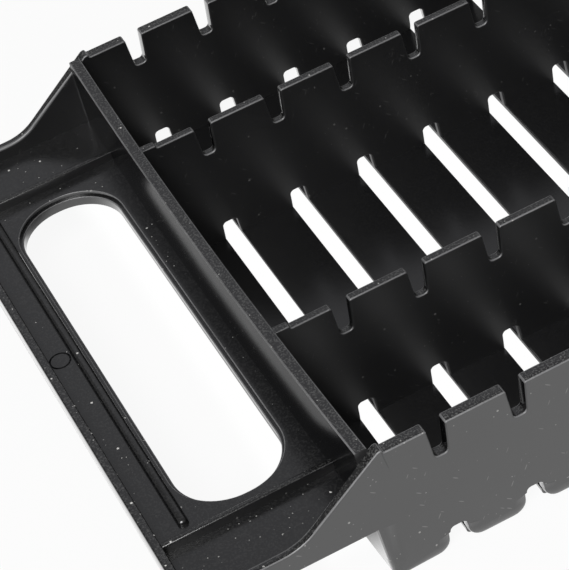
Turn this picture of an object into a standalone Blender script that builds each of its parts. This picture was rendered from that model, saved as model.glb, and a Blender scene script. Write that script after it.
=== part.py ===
"""Storage tray for clipper guard combs: one black moulding, modelled member by member.

Metres, +Z up. +X runs along the rows, the origin is under the middle of the tray on the table.
"""
import math

import bmesh
import bpy
from mathutils import Matrix, Vector

# Columns of notches and slots
PITCH = 0.0160
COLUMNS = 10
END_MARGIN = 0.0124
SLOT_WIDTH = 0.0031
SLOT_RISE = 0.0041
SLOT_ROUND = 0.0008
NOTCH_TOP_WIDTH = 0.0038
NOTCH_FOOT_WIDTH = 0.0026
NOTCH_DEPTH = 0.0073
NOTCH_FOOT_ROUND = 0.0009
NOTCH_LIP_ROUND = 0.0004

# Basin
TRAY_WIDTH = 0.1416
TRAY_HEIGHT = 0.0330
SIDE_WALL = 0.0026
ROW_WALL = 0.0018
END_WALL = 0.0025
END_BOW = 0.0012
END_DRAFT = 0.0010
OUTER_ROW = 0.0388
FLOOR = 0.0020
FOOT_ROUND = 0.0016
FOOT_DRAFT = 0.0005
CORNER_ROUND = 0.0024
NIB_LENGTH = 0.0020
NIB_HEIGHT = 0.0007

# Handles
HANDLE_REACH = 0.0370
DECK_LEVEL = 0.0145
DECK = 0.0018
LIP_WALL = 0.0019
LIP_LEVEL = 0.0194
LIP_CORNER = 0.0060
WING_SETBACK = 0.0036
WING_SLOPE = math.radians(37)
WING_TOP_ROUND = 0.0012
WING_FILLET = 0.0110
OPENING_LENGTH = 0.0980
OPENING_WIDTH = 0.0216
OPENING_ROUND = 0.0104
OPENING_INSET = 0.0039
RIM_LEDGE = 0.0006
RIM_STEP = 0.0010
RIM_WALL = 0.0016
RIM_DROP = 0.0014
DECK_RIB = 0.0013
DECK_RIB_HEIGHT = 0.0022
DECK_RIB_INSET = 0.0168
GRIP_RIB = 0.0022
GRIP_RIB_HEIGHT = 0.0012
GRIP_RIB_GAP = 0.0014
GRIP_RIB_SETBACK = 0.0030
RIB_ROUND_SHARE = 0.33

# Seam between neighbouring members, how finely round stretches are cut, and what counts as an edge
SEAM = 0.0002
ROUND_STEPS = 4
BOW_STEPS = 16
CUT_PAST = 0.0020
SHARP_EDGE = math.radians(30)

# Worked out from the sizes above
HALF_WIDTH = TRAY_WIDTH / 2
INNER_END = (COLUMNS - 1) * PITCH / 2 + END_MARGIN
OUTER_END = INNER_END + END_WALL
RAIL_END = OUTER_END + HANDLE_REACH
WING_END = RAIL_END - LIP_CORNER
WALL_TOP = TRAY_HEIGHT - NIB_HEIGHT
SLOT_TOP = FLOOR + SLOT_RISE
DECK_TOP = DECK_LEVEL + DECK
ROW_WALL_Y = HALF_WIDTH - OUTER_ROW
INSIDE_HALF_WIDTH = HALF_WIDTH - SIDE_WALL
END_FOOT_ROUND = min(FOOT_ROUND, (END_WALL - END_DRAFT) / 2)
OPENING_MIDDLE = OUTER_END + END_BOW + OPENING_INSET + OPENING_WIDTH / 2
SIDES = {"left": -1, "right": 1}


def column_x(column):
    return (column - (COLUMNS - 1) / 2) * PITCH


def bow_at(y):
    """How far the end wall stands out past its own ends at this place across the tray."""
    return END_BOW * (1 - (y / INSIDE_HALF_WIDTH) ** 2)


def end_face(z):
    """Where the basin's end stands at this height: below the deck it draws in by the draft."""
    return OUTER_END - END_DRAFT * max(0, 1 - z / DECK_LEVEL)


def slot_half(z):
    """Half the gap between two feet at this height: it opens downwards by the draft."""
    return SLOT_WIDTH / 2 + FOOT_DRAFT * (1 - z / SLOT_TOP)


def across(start, stop):
    """Even places across the tray, for edges that follow the bowed end wall."""
    return [start + (stop - start) * step / BOW_STEPS for step in range(BOW_STEPS + 1)]


def rounded(corners):
    """Outline through (a, b, radius) corners, each radius cut as an arc that is tangent to both sides."""
    points = []
    for index, (a, b, radius) in enumerate(corners):
        corner = Vector((a, b))
        if radius <= 0:
            points.append(corner)
            continue
        before = (Vector(corners[index - 1][:2]) - corner).normalized()
        after = (Vector(corners[(index + 1) % len(corners)][:2]) - corner).normalized()
        half_angle = before.angle(after) / 2
        reach = radius / math.tan(half_angle)
        middle = corner + (before + after).normalized() * radius / math.sin(half_angle)
        first = corner + before * reach - middle
        last = corner + after * reach - middle
        sweep = -first.angle_signed(last)
        for step in range(ROUND_STEPS + 1):
            points.append(middle + Matrix.Rotation(sweep * step / ROUND_STEPS, 2) @ first)
    return points


def loft(name, loops):
    """Closed solid through loops that follow each other and have as many points."""
    form = bmesh.new()
    rings = [[form.verts.new(point) for point in loop] for loop in loops]
    form.faces.new(rings[0])
    form.faces.new(rings[-1])
    for ring, beyond in zip(rings, rings[1:]):
        for index in range(len(ring)):
            following = (index + 1) % len(ring)
            form.faces.new((ring[index], ring[following], beyond[following], beyond[index]))
    bmesh.ops.recalc_face_normals(form, faces=form.faces)
    mesh = bpy.data.meshes.new(name)
    form.to_mesh(mesh)
    form.free()
    mesh.shade_smooth()
    mesh.set_sharp_from_angle(angle=SHARP_EDGE)
    piece = bpy.data.objects.new(name, mesh)
    bpy.context.scene.collection.objects.link(piece)
    return piece


def prism(name, outline, axis, low, high):
    """Closed solid: an outline in the other two axes, drawn out along one axis from low to high."""
    place = {
        "X": lambda a, b, along: (along, a, b),
        "Y": lambda a, b, along: (a, along, b),
        "Z": lambda a, b, along: (a, b, along),
    }[axis]
    return loft(name, [[place(a, b, along) for a, b in outline] for along in (low, high)])


def shape(piece, tool, operation):
    """Join or cut a piece with a tool that is no piece of its own."""
    tool.hide_render = True
    tool.display_type = "WIRE"
    modifier = piece.modifiers.new(tool.name, "BOOLEAN")
    modifier.operation = operation
    modifier.solver = "EXACT"
    modifier.object = tool


def black_plastic():
    material = bpy.data.materials.new("black_plastic")
    material.use_nodes = True
    surface = material.node_tree.nodes["Principled BSDF"]
    surface.inputs["Base Color"].default_value = (0.012, 0.012, 0.013, 1.0)
    surface.inputs["Roughness"].default_value = 0.42
    surface.inputs["Metallic"].default_value = 0.0
    return material


def notch(x):
    """Corners of one notch in a wall's top edge, left to right, narrower at its foot."""
    foot = WALL_TOP - NOTCH_DEPTH
    return [
        (x - NOTCH_TOP_WIDTH / 2, WALL_TOP, NOTCH_LIP_ROUND),
        (x - NOTCH_FOOT_WIDTH / 2, foot, NOTCH_FOOT_ROUND),
        (x + NOTCH_FOOT_WIDTH / 2, foot, NOTCH_FOOT_ROUND),
        (x + NOTCH_TOP_WIDTH / 2, WALL_TOP, NOTCH_LIP_ROUND),
    ]


def gap(x, bottom, foot_round):
    """Corners of one gap in a wall's bottom edge, right to left."""
    return [
        (x + slot_half(bottom), bottom, foot_round),
        (x + slot_half(SLOT_TOP), SLOT_TOP, SLOT_ROUND),
        (x - slot_half(SLOT_TOP), SLOT_TOP, SLOT_ROUND),
        (x - slot_half(bottom), bottom, foot_round),
    ]


def notched_top():
    """Top edge of a long wall from one nib to the other, left to right."""
    nib = INNER_END - NIB_LENGTH
    corners = [(-nib, TRAY_HEIGHT, 0), (-nib, WALL_TOP, 0)]
    for column in range(COLUMNS):
        corners += notch(column_x(column))
    return corners + [(nib, WALL_TOP, 0), (nib, TRAY_HEIGHT, 0)]


def gapped_bottom(bottom, foot_round):
    """Bottom edge of a long wall, right to left."""
    corners = []
    for column in reversed(range(COLUMNS)):
        corners += gap(column_x(column), bottom, foot_round)
    return corners


def wing_top(side):
    """Top edge of a wing from its end inwards: level, a hollow curve, then up the slope to the wall's top."""
    top = OUTER_END - WING_SETBACK
    knee = top + (TRAY_HEIGHT - LIP_LEVEL) / math.tan(WING_SLOPE)
    return [
        (side * (WING_END - SEAM), LIP_LEVEL, 0),
        (side * knee, LIP_LEVEL, WING_FILLET),
        (side * top, TRAY_HEIGHT, WING_TOP_ROUND),
    ]


def corner_cut(name, side, face):
    """Tool that rounds the basin's upright corner below a wing, along the end's draft."""
    outer = face * HALF_WIDTH
    loops = []
    for z in (-CUT_PAST, DECK_LEVEL):
        end = end_face(z)
        loop = []
        for step in range(ROUND_STEPS + 1):
            turn = math.pi / 2 * step / ROUND_STEPS
            x = end - CORNER_ROUND * (1 - math.sin(turn))
            loop.append((side * x, outer - face * CORNER_ROUND * (1 - math.cos(turn)), z))
        loop.append((side * (end + CUT_PAST), outer - face * CORNER_ROUND, z))
        loop.append((side * (end + CUT_PAST), outer + face * CUT_PAST, z))
        loop.append((side * (end - CORNER_ROUND), outer + face * CUT_PAST, z))
        loops.append(loop)
    return loft(name, loops)


def wing_cut(name, side, face):
    """Tool that thins a wing from inside, to the thickness of the outer lip."""
    low = DECK_LEVEL - CUT_PAST
    high = TRAY_HEIGHT + CUT_PAST
    near = side * OUTER_END
    far = side * (RAIL_END + CUT_PAST)
    outline = [(near, low), (far, low), (far, high), (near, high)]
    return prism(
        name, outline, "Y", face * (HALF_WIDTH - LIP_WALL), face * (INSIDE_HALF_WIDTH - CUT_PAST)
    )


def side_wall(name, face):
    """Outer long wall with notches above, feet below and a wing past each end wall."""
    end_foot = [
        (WING_END - SEAM, DECK_LEVEL, 0),
        (OUTER_END, DECK_LEVEL, 0),
        (end_face(0), 0, END_FOOT_ROUND),
    ]
    outline = rounded(
        wing_top(-1)
        + notched_top()
        + wing_top(1)[::-1]
        + end_foot
        + gapped_bottom(0, FOOT_ROUND)
        + [(-x, z, radius) for x, z, radius in reversed(end_foot)]
    )
    wall = prism(name, outline, "Y", face * HALF_WIDTH, face * INSIDE_HALF_WIDTH)
    for side_name, side in SIDES.items():
        shape(wall, wing_cut(f"{name}_{side_name}_wing_cut", side, face), "DIFFERENCE")
        shape(wall, corner_cut(f"{name}_{side_name}_corner_cut", side, face), "DIFFERENCE")
    return wall


def row_wall(name, face):
    """Inner long wall: it stands on the floor planks and bridges the slots."""
    middle = face * ROW_WALL_Y
    end = INNER_END + bow_at(abs(middle) + ROW_WALL / 2) - SEAM
    bottom = FLOOR + SEAM
    outline = rounded(
        [(-end, bottom, 0), (-end, TRAY_HEIGHT, 0)]
        + notched_top()
        + [(end, TRAY_HEIGHT, 0), (end, bottom, 0)]
        + gapped_bottom(bottom, 0)
    )
    return prism(name, outline, "Y", middle - ROW_WALL / 2, middle + ROW_WALL / 2)


def end_wall(name, side):
    """Cross wall between the side walls: one section, drafted below the deck, swept along a slight bow."""
    section = rounded([
        (INNER_END, 0, 0),
        (end_face(0), 0, END_FOOT_ROUND),
        (OUTER_END, DECK_LEVEL, 0),
        (OUTER_END, TRAY_HEIGHT, 0),
        (INNER_END, TRAY_HEIGHT, 0),
    ])
    reach = INSIDE_HALF_WIDTH - SEAM
    return loft(
        name, [[(side * (x + bow_at(y)), y, z) for x, z in section] for y in across(-reach, reach)]
    )


def end_plank(name, side):
    """Floor between an end wall and the first slot."""
    reach = INSIDE_HALF_WIDTH - SEAM
    edge = side * (column_x(COLUMNS - 1) + slot_half(FLOOR))
    along_wall = [(side * (INNER_END + bow_at(y) - SEAM), y) for y in across(-reach, reach)]
    return prism(name, along_wall + [(edge, reach), (edge, -reach)], "Z", 0, FLOOR)


def middle_plank(name, column):
    """Floor between two slots, rounded below like the feet it lies between."""
    left = column_x(column)
    right = column_x(column + 1)
    outline = rounded([
        (left + slot_half(FLOOR), FLOOR, 0),
        (left + slot_half(0), 0, FOOT_ROUND),
        (right - slot_half(0), 0, FOOT_ROUND),
        (right - slot_half(FLOOR), FLOOR, 0),
    ])
    reach = INSIDE_HALF_WIDTH - SEAM
    return prism(name, outline, "Y", -reach, reach)


def opening_outline(side, grow):
    """Finger opening's outline in plan, grown outwards on all sides."""
    near = side * (OPENING_MIDDLE - OPENING_WIDTH / 2 - grow)
    far = side * (OPENING_MIDDLE + OPENING_WIDTH / 2 + grow)
    reach = OPENING_LENGTH / 2 + grow
    radius = OPENING_ROUND + grow
    corners = [(near, -reach), (far, -reach), (far, reach), (near, reach)]
    return rounded([(x, y, radius) for x, y in corners])


def deck(name, side):
    """Thin handle deck whose finger opening steps in to a ledge and a collar below."""
    reach = HALF_WIDTH - LIP_WALL - SEAM
    far = side * (RAIL_END - LIP_WALL - SEAM)
    radius = LIP_CORNER - LIP_WALL
    along_wall = [(side * (OUTER_END + max(bow_at(y), 0) + SEAM), y, 0) for y in across(reach, -reach)]
    outline = rounded(along_wall + [(far, -reach, radius), (far, reach, radius)])
    plate = prism(name, outline, "Z", DECK_LEVEL, DECK_TOP)
    collar_foot = DECK_LEVEL - RIM_DROP
    collar_top = DECK_TOP - RIM_STEP
    step = prism(f"{name}_step", opening_outline(side, RIM_LEDGE), "Z", collar_foot, DECK_TOP + CUT_PAST)
    collar = prism(f"{name}_collar", opening_outline(side, RIM_WALL), "Z", collar_foot, collar_top)
    opening = prism(
        f"{name}_opening", opening_outline(side, 0), "Z", collar_foot - CUT_PAST, DECK_TOP + CUT_PAST
    )
    shape(plate, step, "DIFFERENCE")
    shape(plate, collar, "UNION")
    shape(plate, opening, "DIFFERENCE")
    return plate


def outer_lip(name, side):
    """Upright lip round the handle's outer end, from wing to wing."""
    start = side * WING_END
    outer = side * RAIL_END
    inner = side * (RAIL_END - LIP_WALL)
    inside = HALF_WIDTH - LIP_WALL
    outline = rounded([
        (start, HALF_WIDTH, 0),
        (outer, HALF_WIDTH, LIP_CORNER),
        (outer, -HALF_WIDTH, LIP_CORNER),
        (start, -HALF_WIDTH, 0),
        (start, -inside, 0),
        (inner, -inside, LIP_CORNER - LIP_WALL),
        (inner, inside, LIP_CORNER - LIP_WALL),
        (start, inside, 0),
    ])
    return prism(name, outline, "Z", DECK_LEVEL, LIP_LEVEL)


def rib_outline(middle, width, height):
    """Cross-section of a rib that stands on the deck, with a round top edge."""
    low = DECK_TOP + SEAM
    high = DECK_TOP + height
    radius = min(width, height) * RIB_ROUND_SHARE
    return rounded([
        (middle - width / 2, low, 0),
        (middle + width / 2, low, 0),
        (middle + width / 2, high, radius),
        (middle - width / 2, high, radius),
    ])


def deck_rib(name, side, face):
    """Thin rib from the end wall to the outer lip, past one end of the finger opening."""
    middle = face * (HALF_WIDTH - DECK_RIB_INSET)
    near = side * (OUTER_END + bow_at(abs(middle) - DECK_RIB / 2) + SEAM)
    far = side * (RAIL_END - LIP_WALL - SEAM)
    return prism(name, rib_outline(middle, DECK_RIB, DECK_RIB_HEIGHT), "X", near, far)


def grip_rib(name, side):
    """Low rounded rib along the outer side of the finger opening."""
    reach = HALF_WIDTH - DECK_RIB_INSET - DECK_RIB / 2 - GRIP_RIB_SETBACK
    middle = side * (OPENING_MIDDLE + OPENING_WIDTH / 2 + GRIP_RIB_GAP + GRIP_RIB / 2)
    return prism(name, rib_outline(middle, GRIP_RIB, GRIP_RIB_HEIGHT), "Y", -reach, reach)


def build_tray():
    members = [
        side_wall("front_side_wall", -1),
        side_wall("rear_side_wall", 1),
        row_wall("front_row_wall", -1),
        row_wall("rear_row_wall", 1),
    ]
    members.append(end_plank("floor_plank_01", -1))
    for column in range(COLUMNS - 1):
        members.append(middle_plank(f"floor_plank_{column + 2:02d}", column))
    members.append(end_plank(f"floor_plank_{COLUMNS + 1:02d}", 1))
    for side_name, side in SIDES.items():
        members.append(end_wall(f"{side_name}_end_wall", side))
        members.append(deck(f"{side_name}_handle_deck", side))
        members.append(outer_lip(f"{side_name}_handle_lip", side))
        members.append(grip_rib(f"{side_name}_grip_rib", side))
        members.append(deck_rib(f"{side_name}_front_deck_rib", side, -1))
        members.append(deck_rib(f"{side_name}_rear_deck_rib", side, 1))
    tray = bpy.data.objects.new("guard_tray", None)
    bpy.context.scene.collection.objects.link(tray)
    plastic = black_plastic()
    for member in members:
        member.parent = tray
        member.data.materials.append(plastic)


for leftover in list(bpy.data.objects):
    bpy.data.objects.remove(leftover, do_unlink=True)
build_tray()
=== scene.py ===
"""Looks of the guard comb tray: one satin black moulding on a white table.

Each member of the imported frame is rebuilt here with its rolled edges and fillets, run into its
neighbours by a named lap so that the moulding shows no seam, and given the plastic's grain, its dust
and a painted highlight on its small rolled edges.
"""
import math
from collections import namedtuple

import bmesh
import bpy
from mathutils import Matrix, Quaternion, Vector


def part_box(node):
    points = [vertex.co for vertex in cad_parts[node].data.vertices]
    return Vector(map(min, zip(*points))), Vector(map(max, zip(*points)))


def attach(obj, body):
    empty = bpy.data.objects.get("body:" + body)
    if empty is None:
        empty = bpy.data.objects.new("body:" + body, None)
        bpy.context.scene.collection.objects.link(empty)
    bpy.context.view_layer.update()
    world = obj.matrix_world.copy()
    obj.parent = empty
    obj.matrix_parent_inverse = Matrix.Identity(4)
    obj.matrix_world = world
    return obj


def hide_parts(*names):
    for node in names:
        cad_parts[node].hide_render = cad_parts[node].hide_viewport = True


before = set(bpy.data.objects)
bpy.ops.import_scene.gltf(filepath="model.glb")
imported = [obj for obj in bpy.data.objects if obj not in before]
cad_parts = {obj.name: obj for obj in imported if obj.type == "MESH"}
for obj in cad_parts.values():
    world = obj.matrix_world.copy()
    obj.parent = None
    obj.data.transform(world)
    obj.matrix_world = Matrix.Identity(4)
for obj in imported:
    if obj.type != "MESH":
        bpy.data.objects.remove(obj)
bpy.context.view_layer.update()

# Places and sizes that the frame gives
WALL_LOW, WALL_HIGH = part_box("rear_side_wall")
END_LOW, END_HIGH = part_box("right_end_wall")
LIP_LOW, LIP_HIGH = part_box("right_handle_lip")
DECK_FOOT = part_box("right_handle_deck")[0].z
RIB_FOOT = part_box("right_rear_deck_rib")[0].z
GRIP_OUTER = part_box("right_grip_rib")[1].x
PLANKS = sorted(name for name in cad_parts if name.startswith("floor_plank"))
PLANK_BOXES = [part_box(name) for name in PLANKS]
COLUMN_PLACES = [(left[1].x + right[0].x) / 2 for left, right in zip(PLANK_BOXES, PLANK_BOXES[1:])]
SLOT_HALF = (PLANK_BOXES[2][0].x - PLANK_BOXES[1][1].x) / 2
FLOOR = PLANK_BOXES[1][1].z
HALF_WIDTH = WALL_HIGH.y
SIDE_WALL = WALL_HIGH.y - WALL_LOW.y
TRAY_HEIGHT = WALL_HIGH.z
INNER_END = END_LOW.x
RAIL_END = LIP_HIGH.x
LIP_CORNER = LIP_HIGH.x - LIP_LOW.x
LIP_LEVEL = LIP_HIGH.z
DECK_LEVEL = LIP_LOW.z

# The moulding's finer sizes, in metres
SEAM = 0.0002
END_BOW = 0.0012
END_DRAFT = 0.0010
SLOT_RISE = 0.0041
SLOT_ROUND = 0.0010
FOOT_DRAFT = 0.0003
FOOT_ROUND = 0.0030
END_FOOT_ROUND = 0.0015
END_FOOT_RUNOUT = 0.0045
END_WALL_ROUND = 0.0013
PLANK_ROUND = 0.0009
NOTCH_TOP_HALF = 0.0019
NOTCH_FOOT_HALF = 0.0013
NOTCH_DEPTH = 0.0073
NOTCH_FOOT_ROUND = 0.0009
NOTCH_LIP_ROUND = 0.0005
NIB_LENGTH = 0.0020
NIB_HEIGHT = 0.0007
NIB_ROUND = 0.0004
LIP_WALL = 0.0019
WING_SETBACK = 0.0036
WING_SLOPE = math.radians(37)
WING_TOP_ROUND = 0.0012
WING_FILLET = 0.0110
OPENING_LENGTH = 0.0980
OPENING_WIDTH = 0.0216
OPENING_ROUND = 0.0104
OPENING_INSET = 0.0039
RIM_LEDGE = 0.0007
RIM_STEP = 0.0010
RIM_WALL = 0.0016
RIM_ROUND = 0.0002
EJECTOR_RADIUS = 0.0021
EJECTOR_PLACE = 0.0038
EJECTOR_LINE = 0.0004
EJECTOR_RISE = 0.00004

# How much of a rib is rounded: shares of half a deck rib, of a grip rib, and of the grip rib's own round
DECK_RIB_ROUND = 0.6
GRIP_RIB_ROUND = 0.45
GRIP_RIB_END = 0.8

# Rolled edges: how far the edge of a face is rounded over, in metres, and in how many steps
EDGE_ROLL = 0.00028
SLOT_ROLL = 0.0003
FOOT_ROLL = 0.0027
END_FOOT_ROLL = 0.0036
DEEPEST_ROLL = 0.0012
ROLL_RUNOUT = 0.0008
LIP_ROLL = 0.0004
WING_INNER_ROLL = 0.0006
LEAST_ROLL = 0.00002
HOLD = 0.00004
# The painted highlight on rolls: the largest roll that gets it, and half the length of the lighter stretch
HIGHLIGHT_MOST = 0.0007
HIGHLIGHT_HALF = 0.0002
ROLL_STEPS = 4
ROUND_STEPS = 6
WIDE_STEPS = 18
BOW_STEPS = 24
EJECTOR_STEPS = 40
SHARP_EDGE = math.radians(32)
LEAST_RISE = 0.3

# How far members run into each other, and how far a hidden face lies under the one that shows
LAP = 0.0004
DEEP_LAP = 0.0010
UNDER = 0.00002
WELD = 0.000002

WALL_TOP = TRAY_HEIGHT - NIB_HEIGHT
SLOT_TOP = FLOOR + SLOT_RISE
OUTER_END = END_HIGH.x - END_BOW
DECK_TOP = RIB_FOOT - SEAM
WING_END = RAIL_END - LIP_CORNER
INSIDE_HALF_WIDTH = HALF_WIDTH - SIDE_WALL
OPENING_MIDDLE = OUTER_END + END_BOW + OPENING_INSET + OPENING_WIDTH / 2
SIDES = {"left": -1, "right": 1}

# Colours of the plastic where it is untouched, of the painted highlight on its small rolled edges, and of
# what lies on it
DARK = (0.0034, 0.0034, 0.0038, 1.0)
LESS_DARK = (0.0060, 0.0060, 0.0066, 1.0)
PAINTED_HIGHLIGHT = (0.270, 0.270, 0.276, 1.0)
FILM_COLOUR = (0.42, 0.42, 0.41, 1.0)
DUST_COLOUR = (0.80, 0.79, 0.76, 1.0)
WHITE = (1.0, 1.0, 1.0, 1.0)

# The plastic's gloss and grain. Texture scales are per metre. In each pair here and below, a mask starts
# at the first number and is full at the second.
PLASTIC_IOR = 1.6
COAT_ROUGHNESS = 0.10
ROUGHNESS = 0.20
SIDE_ROUGHNESS = 0.09
CLOUD_ROUGHNESS = 0.05
GRAIN_ROUGHNESS = 0.05
DUST_ROUGHNESS = 0.3
END_SMOOTHNESS = 0.13
GRAIN_SCALE = 2600.0
FLOW_SCALE = 45.0
CLOUD_SCALE = 140.0
GRAIN_DETAIL = 3.0
GRAIN_STRENGTH = 0.16
GRAIN_DEPTH = 0.00004
DUST_RELIEF = 0.6
FACING_UP = (0.2, 0.8)
FACING_ONE_WAY = (0.3, 0.9)
WORN_ALL_OVER = (-2.0, -1.0)
# Rises of the faces on a rolled edge that take the painted highlight
HIGHLIGHT_ABOVE = (0.05, 0.60)

# Film and scratches: where they lie and how much of the plastic they hide
DUSTY_HEIGHTS = (0.004, 0.012)
LIP_TOPS = (DECK_TOP + 0.3 * (LIP_LEVEL - DECK_TOP), LIP_LEVEL - LIP_ROLL)
WALL_TOPS = (0.0300, 0.0318)
OUTER_FACES = (0.0685 ** 2, 0.0700 ** 2)
INNER_RUBBING = 0.3
PATCH_DETAIL = 1.0
FILM_DETAIL = 4.0
FILM_PATCHES = (0.47, 0.64)
UPWARD_FILM = 0.015
RESTING_FILM = 0.020
LIP_FILM = 0.09
WALL_TOP_FILM = 0.03
OUTER_TOP_FILM = 0.10
SCRATCH_SLANTS = (0.5, -0.9)
SCRATCH_SIZE = (0.00125, 0.00125, 0.0085)
SCRATCH_RADIUS = 0.090
SCRATCH_PATCH_SCALE = 120.0
SCRATCH_PATCHES = (0.44, 0.52)
SCRATCH_SHARE = 0.15

# Dust: its cells and patches, a dot's radius in its cell, and how much of the plastic it hides where it
# has settled on a face and where it is caught on one that stands upright
Specks = namedtuple("Specks", "scale radius patch_scale patches settled caught")
SPECKS = Specks(320.0, 0.090, 330.0, (0.50, 0.56), 0.95, 0.36)
CRUMBS = Specks(640.0, 0.100, 210.0, (0.46, 0.54), 0.55, 0.24)
DOT_CORE = 0.75

# Order of a piece's finishes, after the plastic itself
# The painted highlight on rolled edges is the second finish
HIGHLIGHT_PLACE = 1
END_FACE_PLACE = 2

# The table, how it is shaded under the basin, and how much less under the front and rear rows
TABLE_HALF = 3.0
TABLE_COLOUR = (0.86, 0.86, 0.86, 1.0)
TABLE_SHADED = (0.30, 0.30, 0.30, 1.0)
TABLE_GLOW = 0.92
SHADE_ENDS = (0.0985 ** 2, 0.0925 ** 2)
SHADE_FRONT = (-0.0680, -0.0540)
SHADE_REAR = (0.0715, 0.0690)
SHADE_DEPTH = 0.92
FRONT_ROW = (-0.020, -0.045)
FRONT_ROW_LESS = 0.08
REAR_ROW = (0.020, 0.045)
REAR_ROW_LESS = 0.24

# Light: the sky's strength away from the camera, and two softboxes
SKY_LIGHT = 0.14
FRONT_SOFTBOX = {
    "place": (-0.7, -1.0, 1.3),
    "aim": (-0.05, 0.0, 0.0),
    "width": 0.9,
    "height": 0.9,
    "power": 26.0,
    "colour": (1.0, 1.0, 1.0),
}
BACK_SOFTBOX = {
    "place": (0.2, 1.15, 1.1),
    "aim": (-0.07, 0.0, 0.0),
    "width": 1.4,
    "height": 0.8,
    "power": 0.70,
    "colour": (0.92, 0.93, 1.0),
}

# The photograph's view
CAMERA_PLACE = Vector((-0.1672, -0.3613, 0.3532))
CAMERA_AIM = Vector((-0.0735, -0.0033, 0.0150))
CAMERA_ROLL = math.radians(-15.86)
CAMERA_LENS = 160.0
SENSOR_WIDTH = 36.0


# A point of an outline: its place, how far the edge there is rolled, and whether the stretch that
# starts there gets the painted highlight
Point = namedtuple("Point", "a b roll light")


class Value:
    """A shader socket that can stand in Python sums."""

    def __init__(self, finish, socket):
        self.finish = finish
        self.socket = socket

    def sum_with(self, operation, first, second):
        return self.finish.node("ShaderNodeMath", {"operation": operation}, {0: first, 1: second})

    def __add__(self, other):
        return self.sum_with("ADD", self, other)

    def __radd__(self, other):
        return self.sum_with("ADD", other, self)

    def __sub__(self, other):
        return self.sum_with("SUBTRACT", self, other)

    def __rsub__(self, other):
        return self.sum_with("SUBTRACT", other, self)

    def __mul__(self, other):
        return self.sum_with("MULTIPLY", self, other)

    def __rmul__(self, other):
        return self.sum_with("MULTIPLY", other, self)


class Finish:
    """One material, or the world, and the nodes that make it."""

    def __init__(self, owner):
        owner.use_nodes = True
        self.tree = owner.node_tree
        self.tree.nodes.clear()

    def node(self, kind, settings=None, sockets=None, output=0):
        made = self.tree.nodes.new(kind)
        for name, setting in (settings or {}).items():
            setattr(made, name, setting)
        for name, value in (sockets or {}).items():
            if isinstance(value, Value):
                self.tree.links.new(value.socket, made.inputs[name])
            else:
                made.inputs[name].default_value = value
        return Value(self, made.outputs[output]) if made.outputs else None

    def noise(self, place, scale, detail=2.0):
        sockets = {"Vector": place, "Scale": scale, "Detail": detail}
        return self.node("ShaderNodeTexNoise", {}, sockets, "Fac")

    def step(self, value, low, high):
        """Smooth mask that starts where the value is low and is full where it is high."""
        stretch = {"Value": value, "From Min": low, "From Max": high}
        return self.node("ShaderNodeMapRange", {"interpolation_type": "SMOOTHSTEP"}, stretch)

    def part(self, vector, axis):
        return self.node("ShaderNodeSeparateXYZ", {}, {0: vector}, axis)

    def dots(self, place, scale, radius):
        """Small dots, one to a cell."""
        away = self.node("ShaderNodeTexVoronoi", {}, {"Vector": place, "Scale": scale}, "Distance")
        return self.step(away, radius, DOT_CORE * radius)

    def patches(self, place, scale, edges):
        return self.step(self.noise(place, scale, PATCH_DETAIL), *edges)

    def specks(self, place, kind):
        """Specks of one kind, in patches."""
        patches = self.patches(place, kind.patch_scale, kind.patches)
        return self.dots(place, kind.scale, kind.radius) * patches

    def scratches(self, place, slant):
        """Short scratches at one slant, in patches."""
        sockets = {"Vector": place, "Rotation": (0.0, slant, 0.0), "Scale": SCRATCH_SIZE}
        slanted = self.node("ShaderNodeMapping", {"vector_type": "TEXTURE"}, sockets)
        patches = self.patches(place, SCRATCH_PATCH_SCALE, SCRATCH_PATCHES)
        return self.dots(slanted, 1.0, SCRATCH_RADIUS) * patches

    def mix_colour(self, factor, first, second):
        return self.node(
            "ShaderNodeMix", {"data_type": "RGBA"}, {"Factor": factor, 6: first, 7: second}, 2
        )


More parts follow.
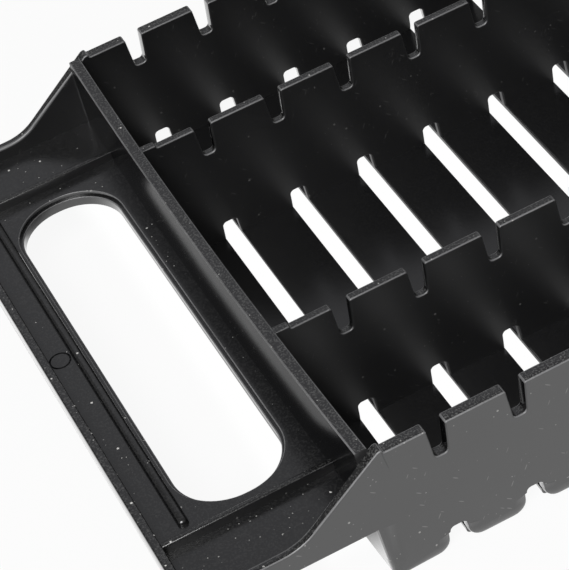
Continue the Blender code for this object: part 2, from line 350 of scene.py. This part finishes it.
def black_plastic(name, darkest, lightest, end_gloss=0.0, shine=1.0, matt=0.0, lighter_rise=WORN_ALL_OVER):
    """Black moulded plastic: fine grain, specks and film of dust, short scratches, glossier end faces.

    The lightest colour shows where a face looks up into the given range of rises; for the edge finish this
    is a painted highlight on the upper part of each roll.
    """
    material = bpy.data.materials.new(name)
    finish = Finish(material)
    place = finish.node("ShaderNodeTexCoord", {}, {}, "Object")
    normal = finish.node("ShaderNodeNewGeometry", {}, {}, "Normal")
    along = finish.part(normal, "X")
    across = finish.part(normal, "Y")
    rise = finish.part(normal, "Z")
    aside = finish.part(place, "Y")
    height = finish.part(place, "Z")
    upward = finish.step(rise, *FACING_UP)
    endways = finish.step(along * along, *FACING_ONE_WAY)
    sideways = finish.step(across * across, *FACING_ONE_WAY)
    outermost = finish.step(aside * aside, *OUTER_FACES)
    resting = upward * finish.step(height, *DUSTY_HEIGHTS)
    rubbing = (1.0 - upward) * (INNER_RUBBING + (1.0 - INNER_RUBBING) * outermost)
    grain = finish.noise(place, GRAIN_SCALE, GRAIN_DETAIL)
    flow = finish.noise(place, FLOW_SCALE, GRAIN_DETAIL)
    cloud = finish.noise(place, CLOUD_SCALE)

    on_lip = LIP_FILM * finish.step(height, *LIP_TOPS)
    on_top = (WALL_TOP_FILM + OUTER_TOP_FILM * outermost) * finish.step(height, *WALL_TOPS)
    film_share = UPWARD_FILM * upward + (RESTING_FILM + on_lip + on_top) * resting
    film = film_share * finish.step(finish.noise(place, GRAIN_SCALE, FILM_DETAIL), *FILM_PATCHES)
    specks = finish.specks(place, SPECKS)
    crumbs = finish.specks(place, CRUMBS)
    scratches = finish.scratches(place, SCRATCH_SLANTS[0]) + finish.scratches(place, SCRATCH_SLANTS[1])
    settled = SPECKS.settled * specks + CRUMBS.settled * crumbs
    caught = SPECKS.caught * specks + CRUMBS.caught * crumbs + SCRATCH_SHARE * scratches
    dust = settled * resting + caught * rubbing

    # The grain's flow varies the tone; on the edge finish the lighter colour is a painted highlight where a
    # roll faces up
    plastic = finish.mix_colour(flow * finish.step(rise, *lighter_rise), darkest, lightest)
    filmed = finish.mix_colour(film, plastic, FILM_COLOUR)
    roughness = (ROUGHNESS + matt) + SIDE_ROUGHNESS * sideways - END_SMOOTHNESS * endways
    roughness = roughness + CLOUD_ROUGHNESS * cloud + GRAIN_ROUGHNESS * grain + DUST_ROUGHNESS * dust
    relief = {"Strength": GRAIN_STRENGTH, "Distance": GRAIN_DEPTH, "Height": grain + DUST_RELIEF * dust}
    looks = {
        "Base Color": finish.mix_colour(dust, filmed, DUST_COLOUR),
        "Roughness": roughness,
        "Normal": finish.node("ShaderNodeBump", {}, relief),
        "IOR": PLASTIC_IOR,
        "Specular IOR Level": shine,
        "Coat Weight": end_gloss * endways,
        "Coat IOR": PLASTIC_IOR,
        "Coat Roughness": COAT_ROUGHNESS,
    }
    surface = finish.node("ShaderNodeBsdfPrincipled", {}, looks)
    finish.node("ShaderNodeOutputMaterial", {}, {"Surface": surface})
    return material


def white_table():
    """White table that shows as white behind the tray, takes its shadow and is shaded right under it."""
    material = bpy.data.materials.new("white_table")
    finish = Finish(material)
    place = finish.node("ShaderNodeTexCoord", {}, {}, "Object")
    x = finish.part(place, "X")
    y = finish.part(place, "Y")
    ends = finish.step(x * x, *SHADE_ENDS)
    shade = ends * finish.step(y, *SHADE_FRONT) * finish.step(y, *SHADE_REAR)
    less = REAR_ROW_LESS * finish.step(y, *REAR_ROW) + FRONT_ROW_LESS * finish.step(y, *FRONT_ROW)
    lit_paint = finish.node("ShaderNodeBsdfDiffuse", {}, {"Color": TABLE_COLOUR})
    shaded_paint = finish.node("ShaderNodeBsdfDiffuse", {}, {"Color": TABLE_SHADED})
    paint = finish.node("ShaderNodeMixShader", {}, {0: shade, 1: lit_paint, 2: shaded_paint})
    glow = finish.node("ShaderNodeEmission", {}, {"Color": WHITE, "Strength": 1.0})
    seen = finish.node("ShaderNodeLightPath", {}, {}, "Is Camera Ray")
    mirrored = finish.node("ShaderNodeLightPath", {}, {}, "Is Glossy Ray")
    through = finish.node("ShaderNodeLightPath", {}, {}, "Is Transmission Ray")
    seen_share = seen * (TABLE_GLOW + (1.0 - TABLE_GLOW) * shade)
    mirrored_share = TABLE_GLOW * (mirrored + through) * (1.0 - (SHADE_DEPTH - less) * shade)
    share = seen_share + mirrored_share
    surface = finish.node("ShaderNodeMixShader", {}, {0: share, 1: paint, 2: glow})
    finish.node("ShaderNodeOutputMaterial", {}, {"Surface": surface})
    return material


def highlighted(radius, sweep, step, steps):
    """Whether this step of a small arc lies in the stretch about its middle that gets the painted
    highlight.
    """
    off_middle = abs(step + 0.5 - steps / 2) * radius * sweep / steps
    return LEAST_ROLL < radius <= HIGHLIGHT_MOST and off_middle < HIGHLIGHT_HALF


def rounded(corners, steps=ROUND_STEPS):
    """Points of a path through (a, b, radius, roll) corners, each with its arc."""
    points = []
    for index, (a, b, radius, roll) in enumerate(corners):
        corner = Vector((a, b))
        if radius <= 0:
            points.append(Point(a, b, roll, False))
            continue
        before = (Vector(corners[index - 1][:2]) - corner).normalized()
        after = (Vector(corners[(index + 1) % len(corners)][:2]) - corner).normalized()
        half_angle = before.angle(after) / 2
        reach = radius / math.tan(half_angle)
        middle = corner + (before + after).normalized() * radius / math.sin(half_angle)
        first = corner + before * reach - middle
        last = corner + after * reach - middle
        sweep = -first.angle_signed(last)
        for step in range(steps + 1):
            point = middle + Matrix.Rotation(sweep * step / steps, 2) @ first
            # The middle of a small arc gets the painted highlight
            light = step < steps and highlighted(radius, abs(sweep), step, steps)
            points.append(Point(point.x, point.y, roll, light))
    return points


def anticlockwise(outline):
    area = sum(p.a * q.b - q.a * p.b for p, q in zip(outline, outline[1:] + outline[:1]))
    if area > 0:
        return outline
    turned = outline[::-1]
    return [point._replace(light=after.light) for point, after in zip(turned, turned[1:] + turned[:1])]


def inward(outline):
    """At each point of an anticlockwise outline, the step inwards that moves both its sides by one."""
    steps = []
    for index, point in enumerate(outline):
        here = Vector((point.a, point.b))
        before = (here - Vector(outline[index - 1][:2])).normalized()
        after = (Vector(outline[(index + 1) % len(outline)][:2]) - here).normalized()
        first = Vector((-before.y, before.x))
        second = Vector((-after.y, after.x))
        steps.append((first + second) / (1 + first.dot(second)))
    return steps


def set_shading(mesh):
    """Smooth rolls between crisp edges, and flat end faces."""
    mesh.shade_smooth()
    mesh.set_sharp_from_angle(angle=SHARP_EDGE)
    for face in mesh.polygons:
        if len(face.vertices) > 4:
            face.use_smooth = False


def finished(name, form, node, finishes=None):
    """Turn a form into a piece that stands for a node of the frame and has the plastic's finishes."""
    bmesh.ops.recalc_face_normals(form, faces=form.faces)
    mesh = bpy.data.meshes.new(name)
    form.to_mesh(mesh)
    form.free()
    set_shading(mesh)
    # The second finish is the painted highlight on small rolled edges
    for material in finishes or (PLASTIC, HIGHLIGHT_EDGE):
        mesh.materials.append(material)
    piece = bpy.data.objects.new(name, mesh)
    bpy.context.scene.collection.objects.link(piece)
    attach(piece, "root")
    if node:
        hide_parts(node)
    return piece


def rolled(outline, axis, low, high, low_most, high_most):
    """Closed form: an outline drawn out along an axis, with the edges of both its end faces rolled over."""
    place = {
        "X": lambda a, b, along: (along, a, b),
        "Y": lambda a, b, along: (a, along, b),
        "Z": lambda a, b, along: (a, b, along),
    }[axis]
    outline = anticlockwise(outline)
    steps = inward(outline)
    form = bmesh.new()
    rings = []
    for end, most, way in ((low, low_most, 1), (high, high_most, -1)):
        made = []
        for ring in range(-1, ROLL_STEPS + 1):
            turn = math.pi / 2 * max(ring, 0) / ROLL_STEPS
            hold = HOLD if ring < 0 else 0
            loop = []
            for point, step in zip(outline, steps):
                radius = max(min(point.roll, most), LEAST_ROLL)
                back = radius * (1 - math.sin(turn)) + hold
                along = end + way * min(radius, DEEPEST_ROLL) * (1 - math.cos(turn))
                loop.append(form.verts.new(place(point.a + step.x * back, point.b + step.y * back, along)))
            made.append(loop)
        rings += made if way > 0 else made[::-1]

    # The middle steps of each small roll get the painted highlight
    def light(row, index):
        point = outline[index]
        if row == ROLL_STEPS + 1:
            return point.light
        most, step = (low_most, row - 1) if row <= ROLL_STEPS else (high_most, row - ROLL_STEPS - 2)
        return 0 <= step < ROLL_STEPS and highlighted(min(point.roll, most), math.pi / 2, step, ROLL_STEPS)

    form.faces.new(rings[0])
    form.faces.new(rings[-1])
    bridge(form, rings, light)
    return form


def bridge(form, rings, light):
    """Faces between loops that follow each other; light says which of them get the painted highlight."""
    for row, (lower, upper) in enumerate(zip(rings, rings[1:])):
        for index in range(len(lower)):
            following = (index + 1) % len(lower)
            face = form.faces.new((lower[index], lower[following], upper[following], upper[index]))
            face.material_index = HIGHLIGHT_PLACE if light(row, index) else 0


def bow_at(y):
    return END_BOW * (1 - (y / INSIDE_HALF_WIDTH) ** 2)


def notched_top(height):
    """Corners of a long wall's top edge from one nib to the other."""
    nib = INNER_END - NIB_LENGTH
    foot = WALL_TOP - NOTCH_DEPTH
    corners = [(-nib, height, NIB_ROUND, EDGE_ROLL), (-nib, WALL_TOP, NIB_ROUND, EDGE_ROLL)]
    for x in COLUMN_PLACES:
        corners += [
            (x - NOTCH_TOP_HALF, WALL_TOP, NOTCH_LIP_ROUND, EDGE_ROLL),
            (x - NOTCH_FOOT_HALF, foot, NOTCH_FOOT_ROUND, EDGE_ROLL),
            (x + NOTCH_FOOT_HALF, foot, NOTCH_FOOT_ROUND, EDGE_ROLL),
            (x + NOTCH_TOP_HALF, WALL_TOP, NOTCH_LIP_ROUND, EDGE_ROLL),
        ]
    return corners + [(nib, WALL_TOP, NIB_ROUND, EDGE_ROLL), (nib, height, NIB_ROUND, EDGE_ROLL)]


def slot_half(height):
    """Half the width of a gap between two feet, which widens downwards."""
    return SLOT_HALF + FOOT_DRAFT * (FLOOR - height) / SLOT_TOP


def gapped_bottom(bottom, foot_round, foot_roll):
    """Corners of a long wall's bottom edge, right to left, with a gap over each floor slot."""
    corners = []
    for x in reversed(COLUMN_PLACES):
        runout = SLOT_TOP - SLOT_ROUND - ROLL_RUNOUT
        corners += [
            (x + slot_half(bottom), bottom, foot_round, foot_roll),
            (x + slot_half(runout), runout, 0, foot_roll),
            (x + slot_half(SLOT_TOP), SLOT_TOP, SLOT_ROUND, SLOT_ROLL),
            (x - slot_half(SLOT_TOP), SLOT_TOP, SLOT_ROUND, SLOT_ROLL),
            (x - slot_half(runout), runout, 0, foot_roll),
            (x - slot_half(bottom), bottom, foot_round, foot_roll),
        ]
    return corners


def wing_top(side):
    """Corners of a wing's top edge from its end inwards: level, a hollow curve, the slope, the wall."""
    top = OUTER_END - WING_SETBACK
    knee = top + (TRAY_HEIGHT - LIP_LEVEL) / math.tan(WING_SLOPE)
    return [
        (side * WING_END, LIP_LEVEL, 0, LIP_ROLL),
        (side * knee, LIP_LEVEL, WING_FILLET, LIP_ROLL),
        (side * top, TRAY_HEIGHT, WING_TOP_ROUND, EDGE_ROLL),
    ]


def end_face(height):
    """Where the basin's drafted end stands at a height below the deck."""
    return OUTER_END - END_DRAFT * (1 - height / DECK_LEVEL)


def end_foot(side):
    """Corners below a wing: its lower edge, the small ledge, and the round corner of the basin."""
    return [
        (side * WING_END, DECK_LEVEL, 0, LIP_ROLL),
        (side * OUTER_END, DECK_LEVEL, 0, EDGE_ROLL),
        (side * OUTER_END, DECK_LEVEL - EDGE_ROLL, 0, END_FOOT_ROLL),
        (side * end_face(END_FOOT_RUNOUT), END_FOOT_RUNOUT, 0, END_FOOT_ROLL),
        (side * end_face(0), 0, END_FOOT_ROUND, END_FOOT_ROUND - 2 * HOLD),
    ]


def cut_box(piece, low, high):
    """Take a box out of a piece and keep the result as the piece's own mesh."""
    form = bmesh.new()
    bmesh.ops.create_cube(form, size=1.0)
    for vert in form.verts:
        vert.co = Vector((low[axis] if vert.co[axis] < 0 else high[axis]) for axis in range(3))
    mesh = bpy.data.meshes.new("cutter")
    form.to_mesh(mesh)
    form.free()
    cutter = bpy.data.objects.new("cutter", mesh)
    bpy.context.scene.collection.objects.link(cutter)
    modifier = piece.modifiers.new("cut", "BOOLEAN")
    modifier.operation = "DIFFERENCE"
    modifier.solver = "EXACT"
    modifier.object = cutter
    evaluated = piece.evaluated_get(bpy.context.evaluated_depsgraph_get())
    piece.data = bpy.data.meshes.new_from_object(evaluated)
    piece.modifiers.clear()
    bpy.data.objects.remove(cutter, do_unlink=True)
    bpy.data.meshes.remove(mesh)


def thin_wing(piece, face, side):
    """Thin a wing from inside to the lip's thickness, and roll over, with a painted highlight, the top edge
    that this leaves.
    """
    wing_face = face * (HALF_WIDTH - LIP_WALL)
    xs = sorted((side * OUTER_END, side * (RAIL_END + DEEP_LAP)))
    ys = sorted((wing_face, face * (INSIDE_HALF_WIDTH - DEEP_LAP)))
    cut_box(piece, (xs[0], ys[0], DECK_LEVEL - DEEP_LAP), (xs[1], ys[1], TRAY_HEIGHT + DEEP_LAP))
    form = bmesh.new()
    form.from_mesh(piece.data)

    def on_cut(vert):
        return abs(vert.co.y - wing_face) < UNDER and side * vert.co.x > OUTER_END - UNDER

    edges = []
    for edge in form.edges:
        rising = any(beside.normal.z > LEAST_RISE for beside in edge.link_faces)
        if rising and all(on_cut(vert) for vert in edge.verts):
            edges.append(edge)
    bmesh.ops.bevel(
        form,
        geom=edges,
        offset=WING_INNER_ROLL,
        segments=ROLL_STEPS,
        profile=0.5,
        affect="EDGES",
        material=HIGHLIGHT_PLACE,
    )
    form.to_mesh(piece.data)
    form.free()
    set_shading(piece.data)


def side_wall(name, face):
    corners = (
        wing_top(-1)
        + notched_top(TRAY_HEIGHT)
        + wing_top(1)[::-1]
        + end_foot(1)
        + gapped_bottom(0, FOOT_ROUND, FOOT_ROLL)
        + end_foot(-1)[::-1]
    )
    outer = face * HALF_WIDTH
    inner = face * INSIDE_HALF_WIDTH
    if face < 0:
        form = rolled(rounded(corners), "Y", outer, inner, END_FOOT_ROLL, EDGE_ROLL)
    else:
        form = rolled(rounded(corners), "Y", inner, outer, EDGE_ROLL, END_FOOT_ROLL)
    piece = finished(name, form, name)
    for side in SIDES.values():
        thin_wing(piece, face, side)
    return piece


def row_wall(name, face):
    low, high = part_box(name)
    end = INNER_END + bow_at(high.y if face > 0 else low.y) + DEEP_LAP
    bottom = FLOOR - LAP
    top = TRAY_HEIGHT - 2 * UNDER
    corners = (
        [(-end, bottom, 0, 0), (-end, top, 0, 0)]
        + notched_top(top)
        + [(end, top, 0, 0), (end, bottom, 0, 0)]
        + gapped_bottom(bottom, 0, SLOT_ROLL)
    )
    return finished(name, rolled(rounded(corners), "Y", low.y, high.y, SLOT_ROLL, SLOT_ROLL), name)


def end_wall(name, side):
    """Cross wall: one section, drafted below the deck and rounded at its edges, swept along the bow."""
    section = rounded([
        (INNER_END, UNDER, 0, 0),
        (OUTER_END - END_DRAFT, UNDER, END_WALL_ROUND, 0),
        (OUTER_END, DECK_LEVEL, 0, 0),
        (OUTER_END, TRAY_HEIGHT - UNDER, EDGE_ROLL, 0),
        (INNER_END, TRAY_HEIGHT - UNDER, EDGE_ROLL, 0),
    ])
    reach = INSIDE_HALF_WIDTH + LAP
    form = bmesh.new()
    rings = []
    for step in range(BOW_STEPS + 1):
        y = reach * (2 * step / BOW_STEPS - 1)
        rings.append([form.verts.new((side * (p.a + bow_at(y)), y, p.b)) for p in section])
    form.faces.new(rings[0])
    form.faces.new(rings[-1])
    # Small rolls along the top edges get the painted highlight
    bridge(form, rings, lambda row, index: section[index].light)
    for face in form.faces:
        middle = face.calc_center_median()
        if side * middle.x > OUTER_END and not face.material_index:
            face.material_index = END_FACE_PLACE
    return finished(name, form, name, (PLASTIC, HIGHLIGHT_EDGE, END_FACE))


def plank(name, low, high):
    """Floor between two slots, or between a slot and an end wall, run into the walls round it."""
    left = low.x if low.x > -INNER_END + END_BOW else low.x - SEAM
    right = high.x if high.x < INNER_END - END_BOW else high.x + SEAM
    draft = slot_half(0) - SLOT_HALF
    corners = [
        (left, FLOOR, EDGE_ROLL, 0),
        (left + draft, UNDER, PLANK_ROUND, 0),
        (right - draft, UNDER, PLANK_ROUND, 0),
        (right, FLOOR, EDGE_ROLL, 0),
    ]
    reach = INSIDE_HALF_WIDTH + LAP
    form = rolled(rounded(corners), "Y", -reach, reach, LEAST_ROLL, LEAST_ROLL)
    return finished(name, form, name, (PLASTIC, PLASTIC))


def opening_loop(side, grow):
    near = side * (OPENING_MIDDLE - OPENING_WIDTH / 2 - grow)
    far = side * (OPENING_MIDDLE + OPENING_WIDTH / 2 + grow)
    reach = OPENING_LENGTH / 2 + grow
    radius = OPENING_ROUND + grow
    corners = [(near, -reach), (far, -reach), (far, reach), (near, reach)]
    return rounded([(x, y, radius, 0) for x, y in corners], WIDE_STEPS)


def handle_deck(name, side):
    """Deck with its finger opening, which steps in to a ledge and a collar below."""
    near = side * (OUTER_END - LAP)
    far = side * (RAIL_END - LIP_WALL + LAP)
    reach = HALF_WIDTH - LIP_WALL + LAP
    corner = LIP_CORNER - LIP_WALL
    outline = rounded([
        (near, -reach, 0, 0), (far, -reach, corner, 0), (far, reach, corner, 0), (near, reach, 0, 0)
    ])
    ledge = DECK_TOP - RIM_STEP
    rim = rounded([
        (RIM_WALL, DECK_TOP, 0, 0),
        (RIM_LEDGE, DECK_TOP, RIM_ROUND, 0),
        (RIM_LEDGE, ledge, 0, 0),
        (0, ledge, RIM_ROUND, 0),
        (0, DECK_FOOT, RIM_ROUND, 0),
        (RIM_WALL, DECK_FOOT, RIM_ROUND, 0),
        (RIM_WALL, DECK_LEVEL, 0, 0),
    ])
    form = bmesh.new()
    rings = [[form.verts.new((p.a, p.b, at.b)) for p in opening_loop(side, at.a)] for at in rim]
    # The rim's small rounds get the painted highlight
    bridge(form, rings, lambda row, index: rim[row].light)
    outer = [[form.verts.new((p.a, p.b, z)) for p in outline] for z in (DECK_TOP, DECK_LEVEL)]
    bridge(form, outer, lambda row, index: False)
    for edge_loop, rim_loop in ((outer[0], rings[0]), (outer[1], rings[-1])):
        edges = []
        for loop in (edge_loop, rim_loop):
            edges += [form.edges.get((loop[index - 1], loop[index])) for index in range(len(loop))]
        bmesh.ops.triangle_fill(form, edges=edges, use_beauty=True)
    return finished(name, form, name)


def handle_lip(name, side):
    start = side * (WING_END - DEEP_LAP)
    outer = side * RAIL_END
    inner = side * (RAIL_END - LIP_WALL)
    outside = HALF_WIDTH - UNDER
    inside = HALF_WIDTH - LIP_WALL + UNDER
    bend = LIP_CORNER - LIP_WALL
    outline = rounded([
        (start, outside, 0, LIP_ROLL),
        (outer, HALF_WIDTH, LIP_CORNER, LIP_ROLL),
        (outer, -HALF_WIDTH, LIP_CORNER, LIP_ROLL),
        (start, -outside, 0, LIP_ROLL),
        (start, -inside, 0, LIP_ROLL),
        (inner, -inside, bend, LIP_ROLL),
        (inner, inside, bend, LIP_ROLL),
        (start, inside, 0, LIP_ROLL),
    ])
    form = rolled(outline, "Z", DECK_LEVEL, LIP_LEVEL, LIP_ROLL, LIP_ROLL)
    return finished(name, form, name, (PLASTIC, PLASTIC))


def deck_rib(name):
    low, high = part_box(name)
    middle = (low.y + high.y) / 2
    half = (high.y - low.y) / 2
    base = DECK_TOP - LAP
    corners = [
        (middle - half, base, 0, 0),
        (middle + half, base, 0, 0),
        (middle + half, high.z, half * DECK_RIB_ROUND, 0),
        (middle - half, high.z, half * DECK_RIB_ROUND, 0),
    ]
    form = rolled(rounded(corners), "X", low.x - LAP, high.x + LAP, LEAST_ROLL, LEAST_ROLL)
    return finished(name, form, name, (PLASTIC, PLASTIC))


def grip_rib(name):
    low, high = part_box(name)
    base = DECK_TOP - LAP
    round_top = (high.x - low.x) * GRIP_RIB_ROUND
    round_end = round_top * GRIP_RIB_END
    corners = [
        (low.x, base, 0, 0),
        (high.x, base, 0, 0),
        (high.x, high.z, round_top, round_end),
        (low.x, high.z, round_top, round_end),
    ]
    form = rolled(rounded(corners), "Y", low.y, high.y, round_top, round_top)
    return finished(name, form, name, (PLASTIC, PLASTIC))


def ejector_mark(name, side):
    """Thin dull ring that an ejector pin left in the channel between the grip rib and the lip."""
    middle = side * ((GRIP_OUTER + RAIL_END - LIP_WALL) / 2)
    half = EJECTOR_LINE / 2
    section = [
        (-half, -LAP),
        (-half, 0),
        (-half / 2, EJECTOR_RISE),
        (half / 2, EJECTOR_RISE),
        (half, 0),
        (half, -LAP),
    ]
    form = bmesh.new()
    rings = []
    for out, up in section + section[:1]:
        loop = []
        for step in range(EJECTOR_STEPS):
            turn = 2 * math.pi * step / EJECTOR_STEPS
            x = middle + (EJECTOR_RADIUS + out) * math.cos(turn)
            y = EJECTOR_PLACE + (EJECTOR_RADIUS + out) * math.sin(turn)
            loop.append(form.verts.new((x, y, DECK_TOP + up)))
        rings.append(loop)
    bridge(form, rings, lambda row, index: False)
    bmesh.ops.remove_doubles(form, verts=form.verts, dist=WELD)
    return finished(name, form, None, (END_FACE,))


def build_tray():
    for name, face in (("front", -1), ("rear", 1)):
        side_wall(f"{name}_side_wall", face)
        row_wall(f"{name}_row_wall", face)
    for name, (low, high) in zip(PLANKS, PLANK_BOXES):
        plank(name, low, high)
    for name, side in SIDES.items():
        end_wall(f"{name}_end_wall", side)
        handle_deck(f"{name}_handle_deck", side)
        handle_lip(f"{name}_handle_lip", side)
        grip_rib(f"{name}_grip_rib")
        deck_rib(f"{name}_front_deck_rib")
        deck_rib(f"{name}_rear_deck_rib")
        ejector_mark(f"{name}_ejector_mark", side)


def table():
    mesh = bpy.data.meshes.new("table")
    corners = [(TABLE_HALF * x, TABLE_HALF * y, 0) for x, y in ((-1, -1), (1, -1), (1, 1), (-1, 1))]
    mesh.from_pydata(corners, [], [(0, 1, 2, 3)])
    mesh.materials.append(white_table())
    top = bpy.data.objects.new("table", mesh)
    bpy.context.scene.collection.objects.link(top)


def softbox(name, place, aim, width, height, power, colour):
    data = bpy.data.lights.new(name, "AREA")
    data.shape = "RECTANGLE"
    data.size = width
    data.size_y = height
    data.energy = power
    data.color = colour
    lamp = bpy.data.objects.new(name, data)
    lamp.location = place
    lamp.rotation_mode = "QUATERNION"
    lamp.rotation_quaternion = (Vector(aim) - Vector(place)).to_track_quat("-Z", "Y")
    bpy.context.scene.collection.objects.link(lamp)


def studio():
    world = bpy.data.worlds.new("studio")
    bpy.context.scene.world = world
    finish = Finish(world)
    seen = finish.node("ShaderNodeLightPath", {}, {}, "Is Camera Ray")
    strength = SKY_LIGHT + (1.0 - SKY_LIGHT) * seen
    sky = finish.node("ShaderNodeBackground", {}, {"Color": WHITE, "Strength": strength})
    finish.node("ShaderNodeOutputWorld", {}, {"Surface": sky})
    softbox("front_softbox", **FRONT_SOFTBOX)
    softbox("back_softbox", **BACK_SOFTBOX)


def camera():
    data = bpy.data.cameras.new("photo_camera")
    data.lens = CAMERA_LENS
    data.sensor_width = SENSOR_WIDTH
    eye = bpy.data.objects.new("photo_camera", data)
    eye.location = CAMERA_PLACE
    eye.rotation_mode = "QUATERNION"
    straight = (CAMERA_AIM - CAMERA_PLACE).to_track_quat("-Z", "Y")
    eye.rotation_quaternion = straight @ Quaternion((0, 0, 1), CAMERA_ROLL)
    bpy.context.scene.collection.objects.link(eye)
    bpy.context.scene.camera = eye


PLASTIC = black_plastic("satin_black_plastic", DARK, LESS_DARK, end_gloss=1.0)
END_FACE = black_plastic("dull_black_end_face", DARK, LESS_DARK, shine=0.022, matt=0.07)
# Painted highlight on rolled edges: light grey, lightest where a roll faces up
HIGHLIGHT_EDGE = black_plastic("painted_highlight_black_edge", DARK, PAINTED_HIGHLIGHT, matt=0.20, lighter_rise=HIGHLIGHT_ABOVE)
build_tray()
table()
studio()
camera()
bpy.context.scene.view_settings.view_transform = "Standard"
